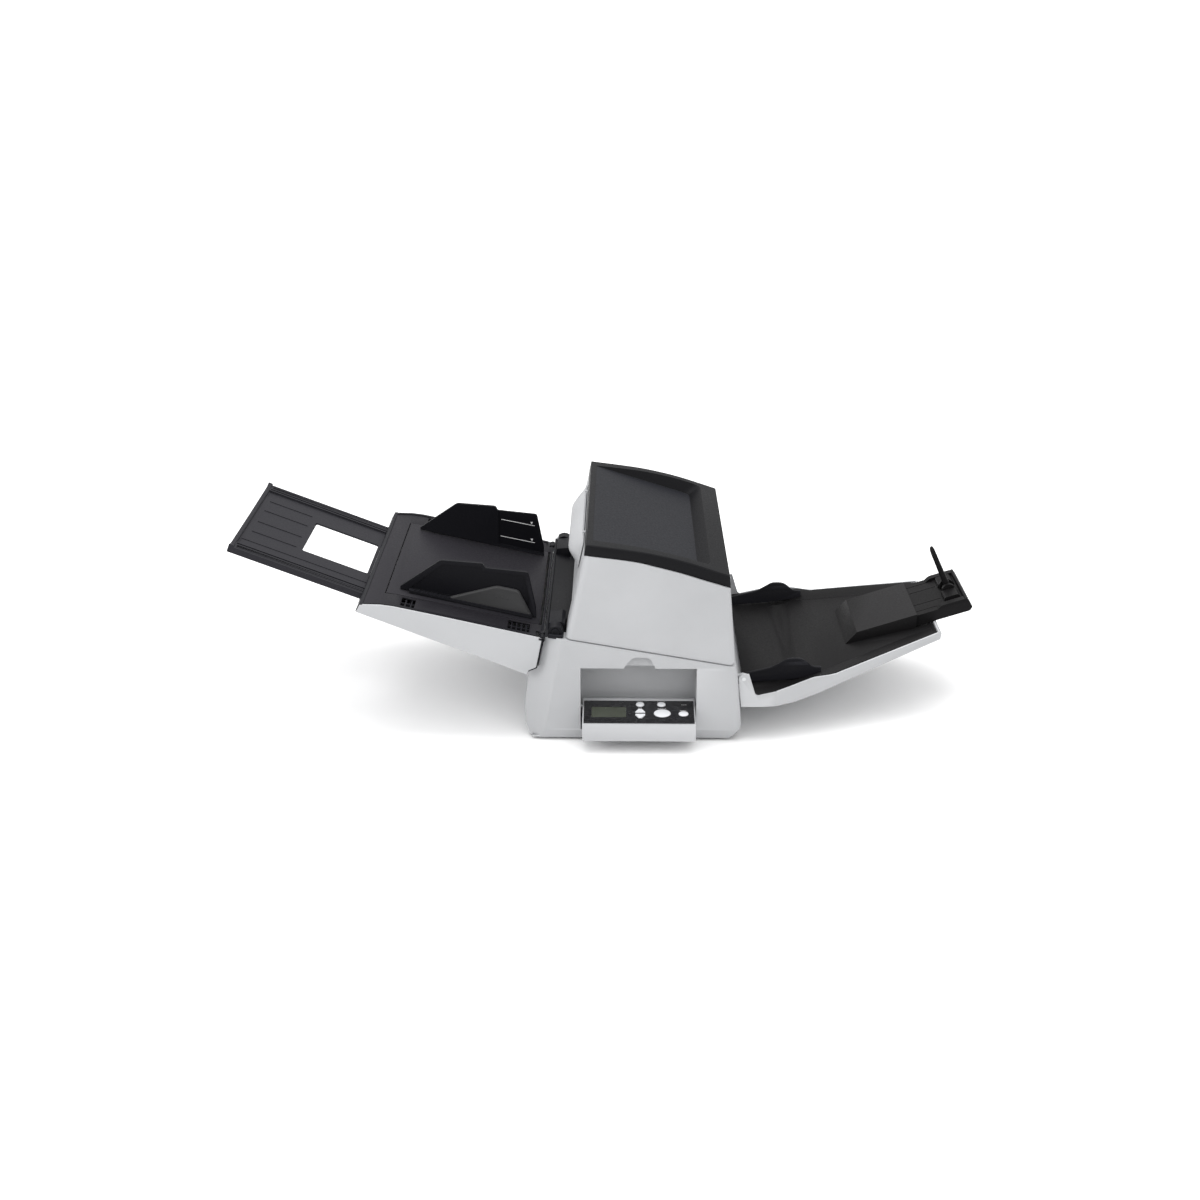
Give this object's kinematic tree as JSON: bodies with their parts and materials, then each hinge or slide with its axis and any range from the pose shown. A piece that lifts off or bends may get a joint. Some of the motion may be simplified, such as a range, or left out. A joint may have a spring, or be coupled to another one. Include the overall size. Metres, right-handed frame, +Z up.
{
  "type": "sheet fed document scanner",
  "caption": "Desktop sheet fed document scanner with a sloping hopper, an opening cover, a straight paper path, a rear stacker and fold-out operator panels.",
  "frame": {"origin": "centre of the outline on the surface that the feet stand on", "axes": "+X along the paper's travel from hopper to stacker, +Z up, -Y towards the near operator panel"},
  "size_m": [1.1371, 0.544, 0.308],
  "materials": {
    "shell": "fine moulded texture, light grey",
    "black_cover": "fine texture, black",
    "black_trays": "textured, dark grey",
    "black_guides": "satin black",
    "panel_face": "gloss black",
    "display": "dark display window",
    "keys": "soft key caps",
    "steel": "zinc plated",
    "feed_rubber": "soft rubber",
    "foot_rubber": "black rubber",
    "idler_plastic": "acetal",
    "sensor_housing": "black",
    "scan_glass": "clear",
    "circuit_board": "solder mask",
    "supply_case": "grey"
  },
  "bodies": {
    "base": {"base_shell": "shell", "bottom_chassis": "steel", "rubber_feet": "foot_rubber", "lower_guide_plate": "black_guides", "lower_imaging_unit": "sensor_housing", "lower_scan_glass": "scan_glass", "drive_motor": "supply_case", "drive_belt": "foot_rubber", "main_board": "circuit_board", "power_supply": "supply_case", "power_inlet": "sensor_housing", "usb_port": "sensor_housing", "hinge_pins": "steel", "case_screws": "steel"},
    "motor_pulley": {"motor_pulley": "idler_plastic"},
    "power_switch": {"power_switch": "sensor_housing"},
    "feed_roller": {"feed_roller_shaft": "steel", "feed_roller_tyres": "feed_rubber"},
    "exit_roller": {"exit_roller_shaft": "steel", "exit_roller_tyres": "feed_rubber"},
    "cover": {"upper_shell": "shell", "top_cover": "black_cover", "upper_guide_plate": "black_guides", "upper_imaging_unit": "sensor_housing", "upper_scan_glass": "scan_glass"},
    "pick_roller": {"pick_roller_shaft": "steel", "pick_roller_tyres": "feed_rubber"},
    "feed_idlers": {"feed_idlers": "idler_plastic"},
    "exit_idlers": {"exit_idlers": "idler_plastic"},
    "release_handle": {"release_handle": "shell"},
    "hopper": {"hopper_shell": "shell", "hopper_deck": "black_trays"},
    "lift_table": {"lift_table": "black_trays"},
    "hopper_extension": {"hopper_extension": "black_trays"},
    "side_guide_near": {"side_guide_near": "black_guides"},
    "side_guide_far": {"side_guide_far": "black_guides"},
    "stacker": {"stacker_shell": "shell", "stacker_deck": "black_trays"},
    "stacker_guide_near": {"stacker_guide_near": "black_guides"},
    "stacker_guide_far": {"stacker_guide_far": "black_guides"},
    "stacker_extension": {"stacker_extension": "black_trays"},
    "paper_stopper": {"paper_stopper": "black_trays"},
    "panel_near": {"panel_case_near": "shell", "panel_face_near": "panel_face", "display_near": "display"},
    "menu_button_near": {"menu_button_near": "keys"},
    "function_button_near": {"function_button_near": "keys"},
    "scan_button_near": {"scan_button_near": "keys"},
    "stop_button_near": {"stop_button_near": "keys"},
    "up_button_near": {"up_button_near": "keys"},
    "down_button_near": {"down_button_near": "keys"},
    "panel_far": {"panel_case_far": "shell", "panel_face_far": "panel_face", "display_far": "display"},
    "menu_button_far": {"menu_button_far": "keys"},
    "function_button_far": {"function_button_far": "keys"},
    "scan_button_far": {"scan_button_far": "keys"},
    "stop_button_far": {"stop_button_far": "keys"},
    "up_button_far": {"up_button_far": "keys"},
    "down_button_far": {"down_button_far": "keys"}
  },
  "joints": [
    {"name": "cover_hinge", "type": "hinge", "parent": "base", "child": "cover", "pos_m": [0.1811, 0, 0.1322], "axis": [0, 1, 0], "range_deg": [0, 68]},
    {"name": "handle_hinge", "type": "hinge", "parent": "cover", "child": "release_handle", "pos_m": [-0.0359, 0, 0.2884], "axis": [0, 1, 0], "range_deg": [0, 16], "stiffness_Nm_per_rad": 0.6, "springref_deg": -11.46},
    {"name": "pick_roller_spin", "type": "hinge", "parent": "cover", "child": "pick_roller", "pos_m": [-0.03427, 0, 0.17295], "axis": [0, 1, 0], "continuous": true},
    {"name": "feed_idler_spin", "type": "hinge", "parent": "cover", "child": "feed_idlers", "pos_m": [-0.01253, 0, 0.16358], "axis": [0, 1, 0], "continuous": true},
    {"name": "exit_idler_spin", "type": "hinge", "parent": "cover", "child": "exit_idlers", "pos_m": [0.11761, 0, 0.1415], "axis": [0, 1, 0], "continuous": true},
    {"name": "feed_roller_spin", "type": "hinge", "parent": "base", "child": "feed_roller", "pos_m": [-0.01595, 0, 0.14347], "axis": [0, 1, 0], "continuous": true},
    {"name": "exit_roller_spin", "type": "hinge", "parent": "base", "child": "exit_roller", "pos_m": [0.11419, 0, 0.12138], "axis": [0, 1, 0], "continuous": true},
    {"name": "motor_spin", "type": "hinge", "parent": "base", "child": "motor_pulley", "pos_m": [0.0511, 0, 0.058], "axis": [0, 1, 0], "continuous": true},
    {"name": "power_switch_rock", "type": "hinge", "parent": "base", "child": "power_switch", "pos_m": [0.1966, 0.093, 0.034], "axis": [0, 1, 0], "range_deg": [0, 12]},
    {"name": "hopper_fold", "type": "hinge", "parent": "base", "child": "hopper", "pos_m": [-0.0964, 0, 0.1595], "axis": [0, 1, 0], "range_deg": [0, 45]},
    {"name": "lift_table_tilt", "type": "hinge", "parent": "hopper", "child": "lift_table", "pos_m": [-0.3309, 0, 0.2076], "axis": [0, 1, 0], "range_deg": [0, 3]},
    {"name": "hopper_extension_slide", "type": "slide", "parent": "hopper", "child": "hopper_extension", "axis": [0.9336, 0, -0.3584], "range_m": [0, 0.18]},
    {"name": "side_guide_near_slide", "type": "slide", "parent": "lift_table", "child": "side_guide_near", "axis": [0, 1, 0], "range_m": [-0.01, 0.1]},
    {"name": "side_guide_far_slide", "type": "slide", "parent": "lift_table", "child": "side_guide_far", "axis": [0, -1, 0], "range_m": [-0.01, 0.1]},
    {"name": "stacker_fold", "type": "hinge", "parent": "base", "child": "stacker", "pos_m": [0.2044, 0, 0.0978], "axis": [0, 1, 0], "range_deg": [-45, 0]},
    {"name": "stacker_guide_near_slide", "type": "slide", "parent": "stacker", "child": "stacker_guide_near", "axis": [0, 1, 0], "range_m": [-0.01, 0.08]},
    {"name": "stacker_guide_far_slide", "type": "slide", "parent": "stacker", "child": "stacker_guide_far", "axis": [0, -1, 0], "range_m": [-0.01, 0.08]},
    {"name": "stacker_extension_slide", "type": "slide", "parent": "stacker", "child": "stacker_extension", "axis": [-0.9511, 0, -0.309], "range_m": [0, 0.03]},
    {"name": "stopper_flip", "type": "hinge", "parent": "stacker_extension", "child": "paper_stopper", "pos_m": [0.53871, 0, 0.16817], "axis": [0, 1, 0], "range_deg": [-50, 0]},
    {"name": "panel_near_hinge", "type": "hinge", "parent": "base", "child": "panel_near", "pos_m": [0.0481, -0.2025, 0.0455], "axis": [-1, 0, 0], "range_deg": [0, 90]},
    {"name": "menu_button_near_press", "type": "slide", "parent": "panel_near", "child": "menu_button_near", "axis": [0, 0.1392, -0.9903], "range_m": [0, 0.001], "stiffness_N_per_m": 300, "springref_m": -0.0005},
    {"name": "function_button_near_press", "type": "slide", "parent": "panel_near", "child": "function_button_near", "axis": [0, 0.1392, -0.9903], "range_m": [0, 0.001], "stiffness_N_per_m": 300, "springref_m": -0.0005},
    {"name": "scan_button_near_press", "type": "slide", "parent": "panel_near", "child": "scan_button_near", "axis": [0, 0.1392, -0.9903], "range_m": [0, 0.001], "stiffness_N_per_m": 300, "springref_m": -0.0005},
    {"name": "stop_button_near_press", "type": "slide", "parent": "panel_near", "child": "stop_button_near", "axis": [0, 0.1392, -0.9903], "range_m": [0, 0.001], "stiffness_N_per_m": 300, "springref_m": -0.0005},
    {"name": "up_button_near_press", "type": "slide", "parent": "panel_near", "child": "up_button_near", "axis": [0, 0.1392, -0.9903], "range_m": [0, 0.001], "stiffness_N_per_m": 300, "springref_m": -0.0005},
    {"name": "down_button_near_press", "type": "slide", "parent": "panel_near", "child": "down_button_near", "axis": [0, 0.1392, -0.9903], "range_m": [0, 0.001], "stiffness_N_per_m": 300, "springref_m": -0.0005},
    {"name": "panel_far_hinge", "type": "hinge", "parent": "base", "child": "panel_far", "pos_m": [0.0481, 0.2025, 0.0455], "axis": [1, 0, 0], "range_deg": [0, 90]},
    {"name": "menu_button_far_press", "type": "slide", "parent": "panel_far", "child": "menu_button_far", "axis": [0, -0.1392, -0.9903], "range_m": [0, 0.001], "stiffness_N_per_m": 300, "springref_m": -0.0005},
    {"name": "function_button_far_press", "type": "slide", "parent": "panel_far", "child": "function_button_far", "axis": [0, -0.1392, -0.9903], "range_m": [0, 0.001], "stiffness_N_per_m": 300, "springref_m": -0.0005},
    {"name": "scan_button_far_press", "type": "slide", "parent": "panel_far", "child": "scan_button_far", "axis": [0, -0.1392, -0.9903], "range_m": [0, 0.001], "stiffness_N_per_m": 300, "springref_m": -0.0005},
    {"name": "stop_button_far_press", "type": "slide", "parent": "panel_far", "child": "stop_button_far", "axis": [0, -0.1392, -0.9903], "range_m": [0, 0.001], "stiffness_N_per_m": 300, "springref_m": -0.0005},
    {"name": "up_button_far_press", "type": "slide", "parent": "panel_far", "child": "up_button_far", "axis": [0, -0.1392, -0.9903], "range_m": [0, 0.001], "stiffness_N_per_m": 300, "springref_m": -0.0005},
    {"name": "down_button_far_press", "type": "slide", "parent": "panel_far", "child": "down_button_far", "axis": [0, -0.1392, -0.9903], "range_m": [0, 0.001], "stiffness_N_per_m": 300, "springref_m": -0.0005}
  ],
  "couplings": [
    {"joint": "exit_roller_spin", "follows": "feed_roller_spin", "ratio": 1},
    {"joint": "motor_spin", "follows": "feed_roller_spin", "ratio": 1},
    {"joint": "feed_idler_spin", "follows": "feed_roller_spin", "ratio": -1.5},
    {"joint": "exit_idler_spin", "follows": "feed_roller_spin", "ratio": -1.5},
    {"joint": "pick_roller_spin", "follows": "feed_roller_spin", "ratio": -0.85714}
  ]
}
